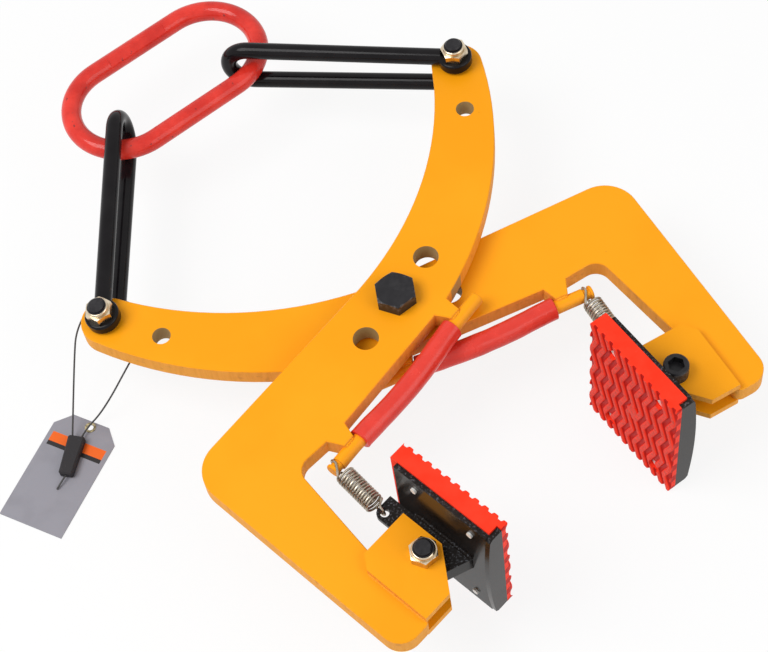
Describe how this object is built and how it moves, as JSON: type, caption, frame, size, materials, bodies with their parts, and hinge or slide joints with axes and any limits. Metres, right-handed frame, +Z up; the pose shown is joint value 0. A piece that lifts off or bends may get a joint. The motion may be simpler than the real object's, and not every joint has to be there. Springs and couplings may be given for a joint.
{
  "type": "lifting tongs",
  "caption": "Scissor lifting tongs with curved plate arms, swivelling treaded rubber jaw pads with return springs, sleeved handles, long shackles and an oval lifting ring.",
  "frame": {"origin": "middle of the tongs' box, on the surface that they lie on", "axes": "+Z up, square to the arm plates; +Y from the jaw towards the lifting ring; X across the jaw"},
  "size_m": [0.6574, 0.7258, 0.179],
  "materials": {
    "orange_paint": "semi-gloss powder coat",
    "red_hose": "satin hose",
    "black_oxide": "black oxide, oiled",
    "yellow_zinc": "yellow passivated zinc",
    "black_gloss": "gloss black paint",
    "red_rubber": "moulded rubber",
    "bright_zinc": "bright zinc",
    "spring_wire": "drawn, zinc plated wire",
    "black_paint": "satin black enamel",
    "red_paint": "gloss red enamel",
    "tag_board": "coated board",
    "eyelet_brass": "rolled",
    "lock_plastic": "matt",
    "tag_wire": "blackened twisted wire"
  },
  "bodies": {
    "upper_arm": {"upper_arm": "orange_paint", "upper_cheek_outer": "orange_paint", "upper_cheek_inner": "orange_paint", "upper_handle_rod": "orange_paint", "upper_handle_sleeve": "red_hose", "upper_pad_bolt": "black_oxide", "upper_pad_nut": "yellow_zinc", "pivot_bolt": "black_oxide", "thrust_washer": "bright_zinc", "end_washer": "black_oxide", "pivot_nut": "black_oxide"},
    "lower_arm": {"lower_arm": "orange_paint", "lower_cheek_outer": "orange_paint", "lower_cheek_inner": "orange_paint", "lower_handle_rod": "orange_paint", "lower_handle_sleeve": "red_hose", "lower_pad_bolt": "black_oxide", "lower_pad_nut": "yellow_zinc"},
    "upper_pad": {"upper_pad_plate": "black_gloss", "upper_pad_lug": "black_gloss", "upper_pad_rubber": "red_rubber", "upper_pad_screws": "bright_zinc"},
    "lower_pad": {"lower_pad_plate": "black_gloss", "lower_pad_lug": "black_gloss", "lower_pad_rubber": "red_rubber", "lower_pad_screws": "bright_zinc"},
    "upper_spring": {"upper_spring": "spring_wire"},
    "lower_spring": {"lower_spring": "spring_wire"},
    "upper_shackle": {"upper_shackle": "black_paint", "upper_shackle_bolt": "black_oxide", "upper_shackle_nut": "yellow_zinc"},
    "lower_shackle": {"lower_shackle": "black_paint", "lower_shackle_bolt": "black_oxide", "lower_shackle_nut": "yellow_zinc"},
    "lifting_ring": {"lifting_ring": "red_paint"},
    "tag": {"tag_plate": "tag_board", "tag_eyelet": "eyelet_brass", "tag_lock": "lock_plastic", "tag_wire": "tag_wire", "tag_tail": "tag_wire"}
  },
  "joints": [
    {"name": "main_pivot", "type": "hinge", "parent": "upper_arm", "child": "lower_arm", "pos_m": [0, -0.08394, 0.0895], "axis": [0, 0, 1], "range_deg": [-33, 18]},
    {"name": "upper_shackle_swing", "type": "hinge", "parent": "upper_arm", "child": "upper_shackle", "pos_m": [0.2185, 0.09256, 0.101], "axis": [0, 0, 1], "range_deg": [-36, 19.8]},
    {"name": "lower_shackle_swing", "type": "hinge", "parent": "lower_arm", "child": "lower_shackle", "pos_m": [-0.2185, 0.09256, 0.078], "axis": [0, 0, 1], "range_deg": [-19.8, 36]},
    {"name": "ring_swing", "type": "hinge", "parent": "upper_shackle", "child": "lifting_ring", "pos_m": [0.0694, 0.24815, 0.0857], "axis": [0, 0, 1], "range_deg": [-10.8, 19.5]},
    {"name": "upper_pad_turn", "type": "hinge", "parent": "upper_arm", "child": "upper_pad", "pos_m": [-0.147, -0.30894, 0.101], "axis": [0, 0, 1], "range_deg": [-9, 5], "stiffness_Nm_per_rad": 6},
    {"name": "lower_pad_turn", "type": "hinge", "parent": "lower_arm", "child": "lower_pad", "pos_m": [0.147, -0.30894, 0.078], "axis": [0, 0, -1], "range_deg": [-4, 6], "stiffness_Nm_per_rad": 6},
    {"name": "upper_spring_swing", "type": "hinge", "parent": "upper_arm", "child": "upper_spring", "pos_m": [-0.14872, -0.1836, 0.101], "axis": [0, 0, 1], "range_deg": [-4.9, 8.4]},
    {"name": "lower_spring_swing", "type": "hinge", "parent": "lower_arm", "child": "lower_spring", "pos_m": [0.14872, -0.1836, 0.078], "axis": [0, 0, -1], "range_deg": [-5.8, 4]},
    {"name": "tag_lift", "type": "hinge", "parent": "lower_shackle", "child": "tag", "pos_m": [-0.1954, 0.11843, 0.05845], "axis": [0.6152, 0.7882, 0.015], "range_deg": [0, 12]}
  ],
  "couplings": [
    {"joint": "upper_shackle_swing", "follows": "main_pivot", "ratio": 1.075},
    {"joint": "lower_shackle_swing", "follows": "main_pivot", "ratio": -1.075},
    {"joint": "ring_swing", "follows": "main_pivot", "ratio": -0.575},
    {"joint": "upper_spring_swing", "follows": "upper_pad_turn", "ratio": -0.88},
    {"joint": "lower_spring_swing", "follows": "lower_pad_turn", "ratio": -0.88}
  ]
}
